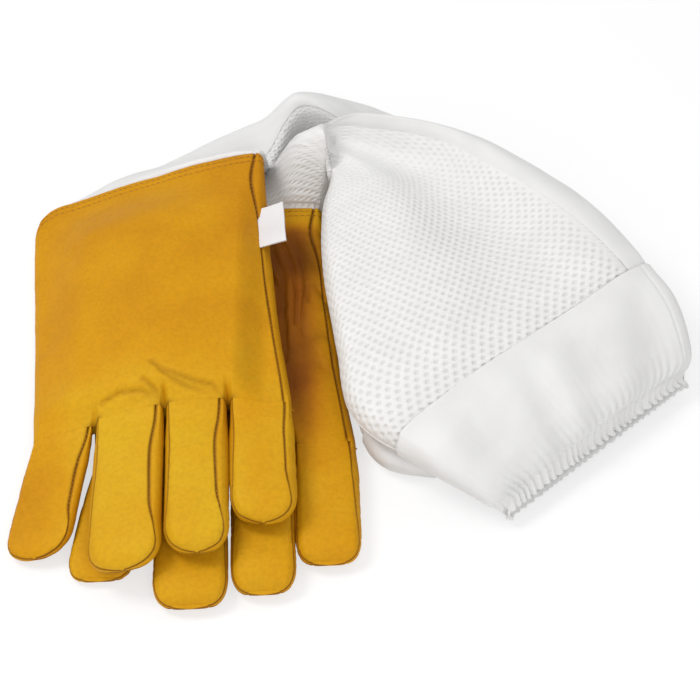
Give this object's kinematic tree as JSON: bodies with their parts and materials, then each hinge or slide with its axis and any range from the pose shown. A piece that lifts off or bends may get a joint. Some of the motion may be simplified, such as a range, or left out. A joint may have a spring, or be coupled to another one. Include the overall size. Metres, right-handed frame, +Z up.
{
  "type": "beekeeping gloves",
  "caption": "Pair of yellow leather beekeeping gloves with long white ventilated mesh and cloth sleeves, stacked palm to palm with the sleeves folded over to one side.",
  "frame": {"origin": "on the table under the middle of the folded pair's bounding box", "axes": "+X across the hands to the little fingers and the sleeves' side, +Y from the fingertips to the wrists, +Z up from the table"},
  "size_m": [0.3206, 0.3084, 0.0539],
  "materials": {
    "goat_leather": "soft yellow goat leather, matt",
    "gusset_leather": "the same leather in narrow side strips",
    "spacer_mesh": "thick white spacer mesh with oval cells",
    "white_cloth": "smooth white woven cloth",
    "elastic": "woven elastic band inside the cuff",
    "tag_satin": "plain white satin tag"
  },
  "bodies": {
    "right_glove": {"right_hand_wrap": "goat_leather", "right_index_back": "goat_leather", "right_index_inner_gusset": "gusset_leather", "right_index_palm": "goat_leather", "right_middle_back": "goat_leather", "right_middle_inner_gusset": "gusset_leather", "right_middle_outer_gusset": "gusset_leather", "right_middle_palm": "goat_leather", "right_ring_back": "goat_leather", "right_ring_inner_gusset": "gusset_leather", "right_ring_outer_gusset": "gusset_leather", "right_ring_palm": "goat_leather", "right_sleeve_cloth": "white_cloth", "right_sleeve_mesh": "spacer_mesh", "right_thumb": "goat_leather", "right_wrist_hem": "goat_leather", "left_sleeve_mesh": "spacer_mesh", "left_sleeve_cloth": "white_cloth", "left_cuff": "white_cloth", "left_elastic": "elastic", "left_cuff_facing": "white_cloth"},
    "left_hand": {"left_hand_wrap": "goat_leather", "left_wrist_hem": "goat_leather", "left_thumb": "goat_leather"},
    "left_index": {"left_index_back": "goat_leather", "left_index_inner_gusset": "gusset_leather", "left_index_palm": "goat_leather"},
    "left_middle": {"left_middle_back": "goat_leather", "left_middle_inner_gusset": "gusset_leather", "left_middle_outer_gusset": "gusset_leather", "left_middle_palm": "goat_leather"},
    "left_ring": {"left_ring_back": "goat_leather", "left_ring_inner_gusset": "gusset_leather", "left_ring_outer_gusset": "gusset_leather", "left_ring_palm": "goat_leather"},
    "left_pinky": {"left_pinky_back": "goat_leather", "left_pinky_outer_gusset": "gusset_leather", "left_pinky_palm": "goat_leather"},
    "left_tag": {"left_tag": "tag_satin"},
    "right_pinky": {"right_pinky_back": "goat_leather", "right_pinky_outer_gusset": "gusset_leather", "right_pinky_palm": "goat_leather"},
    "right_sleeve_end": {"right_sleeve_mesh_end": "spacer_mesh", "right_sleeve_cloth_end": "white_cloth", "right_cuff": "white_cloth", "right_elastic": "elastic", "right_cuff_facing": "white_cloth"}
  },
  "joints": [
    {"name": "left_wrist_lift", "type": "hinge", "parent": "right_glove", "child": "left_hand", "pos_m": [-0.09809, 0.09381, 0.03208], "axis": [-0.9606, -0.0503, -0.2735], "range_deg": [0, 35]},
    {"name": "left_index_lift", "type": "hinge", "parent": "left_hand", "child": "left_index", "pos_m": [-0.13667, -0.06333, 0.02069], "axis": [-0.9986, -0.0523, 0], "range_deg": [0, 45]},
    {"name": "left_middle_lift", "type": "hinge", "parent": "left_hand", "child": "left_middle", "pos_m": [-0.10471, -0.06165, 0.0347], "axis": [-0.9986, -0.0523, 0], "range_deg": [0, 45]},
    {"name": "left_ring_lift", "type": "hinge", "parent": "left_hand", "child": "left_ring", "pos_m": [-0.07326, -0.06, 0.03787], "axis": [-0.9986, -0.0523, 0], "range_deg": [0, 45]},
    {"name": "left_pinky_lift", "type": "hinge", "parent": "left_hand", "child": "left_pinky", "pos_m": [-0.0433, -0.05843, 0.03748], "axis": [-0.9986, -0.0523, 0], "range_deg": [0, 45]},
    {"name": "left_tag_flip", "type": "hinge", "parent": "left_hand", "child": "left_tag", "pos_m": [-0.04617, 0.05297, 0.036], "axis": [0.078, -0.9969, -0.0094], "range_deg": [0, 115]},
    {"name": "right_pinky_lift", "type": "hinge", "parent": "right_glove", "child": "right_pinky", "pos_m": [-0.0138, -0.06793, 0.0167], "axis": [-0.9986, -0.0523, 0], "range_deg": [0, 15]},
    {"name": "right_sleeve_lift", "type": "hinge", "parent": "right_glove", "child": "right_sleeve_end", "pos_m": [0.03304, 0.069, 0.05186], "axis": [-0.8665, -0.4992, 0], "range_deg": [0, 25]}
  ]
}
